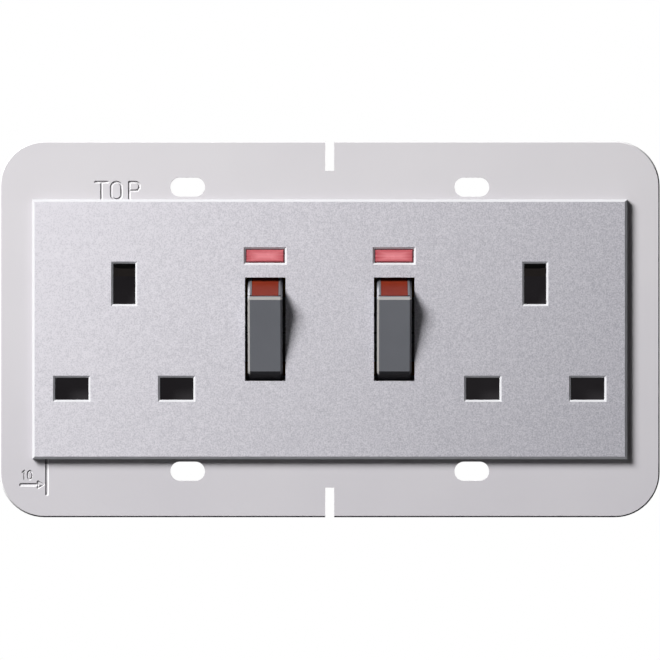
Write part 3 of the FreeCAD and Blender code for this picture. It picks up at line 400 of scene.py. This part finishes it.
def lens_red():
    """Pink-red light window with fine moulded lines: its pale middle is a painted glow of the lamp behind
    it, fading to a darker rim of painted shade.
    """
    look = Finish("lens_red_look")
    x, _, z = look.split(look.share)
    off_x, off_z = look.off(x, 0.5), look.off(z, 0.5)
    # Painted glow in the middle, fading to painted shade at the rim and the border.
    rim = look.either(look.ranged(off_x, 0.15, LENS_RIM_X), look.ranged(off_z, 0.08, LENS_RIM_Z))
    border = look.either(look.above(off_x, LENS_RIM_X), look.above(off_z, LENS_RIM_Z))
    body = look.blend(rim, linear(228, 132, 139), linear(180, 64, 74))
    body = look.blend(border, body, linear(122, 36, 46))
    streaks = look.noise(1.0, detail=3.0, vector=look.scaled(60.0, 1.0, 6000.0))
    look.bump(look.math("SINE", look.math("MULTIPLY", z, 46.0)), 0.04, 0.25)
    return look.set(
        Base_Color=look.blend(look.ranged(streaks, 0.35, 0.65, 0.0, 0.35), body, linear(240, 160, 166)),
        Roughness=look.ranged(look.noise(500.0), 0.3, 0.7, 0.2, 0.3),
        Specular_IOR_Level=0.3,
    )


def flag_red():
    """Red tile of a rocker, more orange toward its upper end."""
    look = Finish("flag_red_look")
    height = look.split(look.share)[2]
    body = look.blend(look.ranged(height, 0.55, 1.0), linear(126, 47, 32), linear(152, 58, 29))
    shade = look.ranged(look.noise(420.0, detail=3.0), 0.35, 0.65, 0.0, 0.35)
    return look.set(
        Base_Color=look.blend(shade, body, linear(112, 36, 32)),
        Roughness=look.ranged(look.noise(300.0), 0.3, 0.7, 0.36, 0.46),
        Specular_IOR_Level=0.2,
    )


def lamp_glass():
    """Glass of the neon lamp, in the middle of its window. Its wire, away from the glass, is tinned."""
    look = Finish("lamp_glass_look")
    low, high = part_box("lens_left")
    wire = look.above(look.off(look.split(look.place)[2], (low.z + high.z) / 2), GLASS_HALF)
    cloud = look.ranged(look.noise(400.0), 0.3, 0.7)
    glass = look.blend(cloud, linear(250, 214, 196), linear(255, 234, 222))
    return look.set(
        Base_Color=look.blend(wire, glass, linear(190, 190, 188)),
        Metallic=wire,
        Roughness=look.ranged(wire, 0.0, 1.0, 0.06, 0.31),
        Transmission_Weight=look.ranged(wire, 0.0, 1.0, 0.9, 0.0),
        IOR=1.5,
    )


def resistor_body():
    """Lacquered resistor with colour bands, on a tinned wire."""
    look = Finish("resistor_body_look")
    low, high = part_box("resistor_right")
    axis_x = (low.x + high.x) / 2
    x, y, z = look.split(look.place)
    off_x = look.off(look.math("ABSOLUTE", x), axis_x)
    beside_axis = look.both(look.below(off_x, WIRE_HALF), look.below(look.off(y, RESISTOR_Y), WIRE_HALF))
    past_case = look.math("SUBTRACT", 1.0, look.between(z, CASE_FOOT, CASE_TOP))
    wire = look.either(beside_axis, past_case)
    colour = look.blend(look.noise(300.0), linear(206, 184, 142), linear(222, 204, 166))
    for height, band in BANDS:
        colour = look.blend(look.below(look.off(z, height), BAND_HALF), colour, linear(*band))
    return look.set(
        Base_Color=look.blend(wire, colour, linear(186, 186, 184)),
        Metallic=wire,
        Roughness=look.ranged(wire, 0.0, 1.0, 0.25, 0.35),
    )


def moulding(name, dark, light, roughness, glow=0.0):
    """Moulded plastic, finely spark-eroded. Glow stands for the light bounced about in its recesses."""
    look = Finish(f"{name}_look")
    cloud = look.noise(120.0, detail=4.0)
    colour = look.blend(look.ranged(cloud, 0.35, 0.65), linear(*dark), linear(*light))
    look.bump(look.noise(3200.0), 0.03, 0.6)
    return look.set(
        Base_Color=colour,
        Roughness=look.ranged(cloud, 0.3, 0.7, roughness - 0.06, roughness + 0.06),
        Specular_IOR_Level=0.35,
        Emission_Color=colour,
        Emission_Strength=glow,
    )


def metal(name, dark, light, roughness, streak=(1.0, 1.0, 1.0), glow=0.0):
    """Bare metal with drawn or brushed streaks and slight tarnish. Glow is as for a moulding."""
    look = Finish(f"{name}_look")
    lines = look.noise(900.0, vector=look.scaled(*streak))
    stain = look.noise(140.0, detail=4.0)
    mixed = look.math("ADD", look.math("MULTIPLY", lines, 0.5), look.math("MULTIPLY", stain, 0.5))
    colour = look.blend(look.ranged(mixed, 0.36, 0.64), linear(*dark), linear(*light))
    look.bump(lines, 0.01, 0.5)
    return look.set(
        Base_Color=colour,
        Metallic=1.0,
        Roughness=look.ranged(stain, 0.3, 0.7, roughness - 0.08, roughness + 0.1),
        Emission_Color=colour,
        Emission_Strength=glow,
    )


def stroke(levels, start, end):
    """Corner rings of one round-ended stroke between two points (x, z). Levels are two pairs (width, y)."""
    along = Vector((end[0] - start[0], end[1] - start[1]))
    base = math.atan2(along.y, along.x)
    corners = []
    for width, y in levels:
        radius = width / 2
        for centre, turn in ((end, base - math.pi / 2), (start, base + math.pi / 2)):
            for step in range(ROUND_STEPS + 1):
                angle = turn + math.pi * step / ROUND_STEPS
                x, z = centre[0] + radius * math.cos(angle), centre[1] + radius * math.sin(angle)
                corners.append((x * MM, y * MM, z * MM))
    count = len(corners) // 2
    faces = [list(range(count)), list(range(2 * count - 1, count - 1, -1))]
    for index in range(count):
        follower = (index + 1) % count
        faces.append([index, index + count, follower + count, follower])
    return corners, faces


def stroke_piece(name, lines, first, last, slope=0.0):
    """Piece of strokes (width, points), in millimetres, from one depth along Y to another.

    The slope is the share of its width by which each side of a stroke comes in on the way.
    """
    corners = []
    faces = []
    for width, points in lines:
        for start, end in zip(points, points[1:]):
            levels = ((width, first), (width * (1 - 2 * slope), last))
            part_corners, part_faces = stroke(levels, start, end)
            faces += [[index + len(corners) for index in face] for face in part_faces]
            corners += part_corners
    mesh = bpy.data.meshes.new(name)
    mesh.from_pydata(corners, [], faces)
    mesh.update()
    piece = bpy.data.objects.new(name, mesh)
    bpy.context.scene.collection.objects.link(piece)
    return piece


def arc(centre, size, start, end, steps=12):
    """Points on an ellipse of a width and a height, between two angles in degrees."""
    points = []
    for step in range(steps + 1):
        angle = math.radians(start + (end - start) * step / steps)
        points.append((centre[0] + size[0] / 2 * math.cos(angle), centre[1] + size[1] / 2 * math.sin(angle)))
    return points


def plate_lines():
    """Strokes of the word TOP and of the measuring mark: 10, an arrow, and the line it points to."""
    top, foot = LETTER_TOP, LETTER_FOOT
    left, middle, right = LETTER_T
    size = (LETTER_O_WIDTH, LETTER_O_WIDTH)
    upper = arc((LETTER_O, top - LETTER_O_WIDTH / 2), size, 0, 180)
    lower = arc((LETTER_O, foot + LETTER_O_WIDTH / 2), size, 180, 360)
    height = (top - foot) / 2
    bowl = arc((LETTER_P_BOWL, top - height / 2), (LETTER_P_BOWL_WIDTH, height), 90, -90, 8)
    return [
        (LETTER_WIDTH, [(left, top), (right, top)]),
        (LETTER_WIDTH, [(middle, top), (middle, foot)]),
        (LETTER_WIDTH, upper + lower + upper[:1]),
        (LETTER_WIDTH, [(LETTER_P, top), (LETTER_P_BOWL, top)] + bowl + [(LETTER_P, top - height)]),
        (LETTER_WIDTH, [(LETTER_P, top), (LETTER_P, foot)]),
        (FIGURE_WIDTH, FIGURE_ONE),
        (FIGURE_WIDTH, arc(FIGURE_NOUGHT, FIGURE_NOUGHT_SIZE, 0, 360, 16)),
        (RULE_WIDTH, RULE_SHAFT),
        (ARROW_WIDTH, ARROW_HEAD),
        (RULE_WIDTH, RULE_LINE),
    ]


def copied(node, name):
    """New piece with a copy of a CAD node's mesh. It stands for that node."""
    piece = bpy.data.objects.new(name, NODES[node].data.copy())
    bpy.context.scene.collection.objects.link(piece)
    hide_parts(node)
    return piece


def dress(piece, slot):
    """Rides a fixed piece on the outlet and gives it the finish of its slot."""
    piece.data.materials.clear()
    piece.data.materials.append(FINISHES[slot])
    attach(piece, "outlet")


def shutter_spring(hand):
    """Return spring: a copy of its CAD node with the spring steel finish, riding on the outlet."""
    node, joint = f"shutter_spring_{hand}", f"shutter_{hand}_slide"
    piece = copied(node, f"{node}_coil")
    dress(piece, "spring_steel")
    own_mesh(piece)


def marked_plate():
    """Support plate with the marks engraved in its face."""
    piece = copied("support_plate", "support_plate_engraved")
    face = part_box("support_plate")[0].y / MM
    depths = face - ENGRAVING_START, face + ENGRAVING_DEPTH
    cutter = stroke_piece("engraving_cutter", plate_lines(), *depths, ENGRAVING_SLOPE)
    # The cutter's strokes cross each other, so the cut has to look at the cutter's own crossings.
    cut = piece.modifiers.new("engraving", "BOOLEAN")
    cut.operation = "DIFFERENCE"
    cut.solver = "EXACT"
    cut.use_self = True
    cut.object = cutter
    graph = bpy.context.evaluated_depsgraph_get()
    shaped = bpy.data.meshes.new_from_object(piece.evaluated_get(graph))
    piece.modifiers.clear()
    piece.data = shaped
    bpy.data.objects.remove(cutter)
    # The normals kept from the uncut plate don't fit the engraved edges.
    if "custom_normal" in shaped.attributes:
        shaped.attributes.remove(shaped.attributes["custom_normal"])
    shaped.shade_smooth()
    shaped.set_sharp_from_angle(angle=SHARP_ANGLE)
    dress(piece, "plate_metal")


def terminal_marks():
    """Raised L, N and earth marks beside the terminal screws on the rear cover."""
    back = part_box("rear_cover")[1].y / MM
    for name, lines in MARKS.items():
        mirrored = [(MARK_WIDTH, [(-x, z) for x, z in points]) for points in lines]
        dress(stroke_piece(name, mirrored, back - MARK_ROOT, back + MARK_RISE), "housing_light")


def lamp(name, direction, size, level):
    """Round area lamp aimed at the object. Level 1 lights a white surface that faces it to about white."""
    data = bpy.data.lights.new(name, "AREA")
    data.shape = "DISK"
    data.size = size
    data.energy = level * math.pi**2 * LAMP_DISTANCE**2
    holder = bpy.data.objects.new(name, data)
    holder.location = direction.normalized() * LAMP_DISTANCE
    holder.rotation_euler = direction.to_track_quat("Z", "Y").to_euler()
    bpy.context.scene.collection.objects.link(holder)


def lighting():
    """Key lamp from the upper left for the front, and fainter lamps for the back."""
    lamp("key", KEY_DIRECTION, KEY_SIZE, KEY_LEVEL / -KEY_DIRECTION.y)
    for index, (direction, size, level) in enumerate(BACK_LAMPS):
        lamp(f"back_{index}", direction, size, level)


def studio():
    """White backdrop for the camera, and behind the object in glass and metal. The rest is dim."""
    world = bpy.data.worlds.new("studio")
    world.use_nodes = True
    room = Nodes(world.node_tree)
    path = room.add("ShaderNodeLightPath").outputs
    direction = room.split(room.add("ShaderNodeTexCoord").outputs["Generated"])
    behind = room.ranged(direction[1], BEHIND_FROM, BEHIND_FULL)
    mirrored = room.both(path["Is Glossy Ray"], behind)
    seen = room.either(path["Is Camera Ray"], path["Is Transmission Ray"])
    background = room.tree.nodes["Background"].inputs
    room.feed(background["Color"], WHITE)
    room.feed(background["Strength"], room.ranged(room.either(seen, mirrored), 0.0, 1.0, AMBIENT))
    bpy.context.scene.world = world


def floor_paint():
    """Pale paint that fades to the white of the background, and that bounced light sees dimmed."""
    look = Finish("floor_look")
    path = look.add("ShaderNodeLightPath").outputs
    bounced = look.either(path["Is Diffuse Ray"], path["Is Glossy Ray"])
    tone = look.blend(look.noise(6.0), *FLOOR_TONES)
    dimmed = look.blend(look.math("MULTIPLY", bounced, BOUNCE_LOSS), tone, BLACK)
    look.set(Base_Color=dimmed, Roughness=look.ranged(look.noise(20.0), 0.3, 0.7, 0.7, 0.85))
    distance = look.add("ShaderNodeVectorMath", {0: look.place}, operation="LENGTH").outputs["Value"]
    fade = look.ranged(distance, FADE_FROM * FLOOR_RADIUS, FADE_FULL * FLOOR_RADIUS, FADE_START, 1.0)
    seen = look.math("MULTIPLY", fade, path["Is Camera Ray"])
    white = look.add("ShaderNodeEmission", {"Color": WHITE, "Strength": 1.0})
    mixed = look.add("ShaderNodeMixShader", {0: seen, 1: look.shader.outputs[0], 2: white.outputs[0]})
    look.feed(look.tree.nodes["Material Output"].inputs["Surface"], mixed.outputs[0])
    return look.material


def floor():
    """Round floor that keeps the object's shadow."""
    angles = [2 * math.pi * side / FLOOR_SIDES for side in range(FLOOR_SIDES)]
    corners = [(FLOOR_RADIUS * math.cos(angle), FLOOR_RADIUS * math.sin(angle), FLOOR_Z) for angle in angles]
    mesh = bpy.data.meshes.new("floor")
    mesh.from_pydata(corners, [], [list(range(FLOOR_SIDES))])
    mesh.materials.append(floor_paint())
    ground = bpy.data.objects.new("floor", mesh)
    bpy.context.scene.collection.objects.link(ground)


def camera():
    """Camera of the photograph's view."""
    data = bpy.data.cameras.new("camera")
    data.lens = LENS
    data.sensor_width = SENSOR
    data.clip_start = NEAR_CLIP
    view = bpy.data.objects.new("camera", data)
    view.location = CAMERA_AT
    view.rotation_euler = (math.radians(90), 0.0, 0.0)
    bpy.context.scene.collection.objects.link(view)
    bpy.context.scene.camera = view


# One finish per material slot of the record
FINISHES = {
    **{slot: moulding(slot, **values) for slot, values in MOULDINGS.items()},
    **{slot: metal(slot, **values) for slot, values in METALS.items()},
    "cover_lacquer": cover_lacquer(),
    "plate_metal": plate_metal(),
    "rocker_grey": rocker_grey(),
    "lens_red": lens_red(),
    "flag_red": flag_red(),
    "lamp_glass": lamp_glass(),
    "resistor_body": resistor_body(),
}

for part in RECORD["subparts"]:
    NODES[part["node"]].material_slots[0].material = FINISHES[part["material_slot"]]

marked_plate()
terminal_marks()
for hand in ("left", "right"):
    shutter_spring(hand)
floor()
lighting()
studio()
camera()
bpy.context.scene.view_settings.view_transform = "Standard"
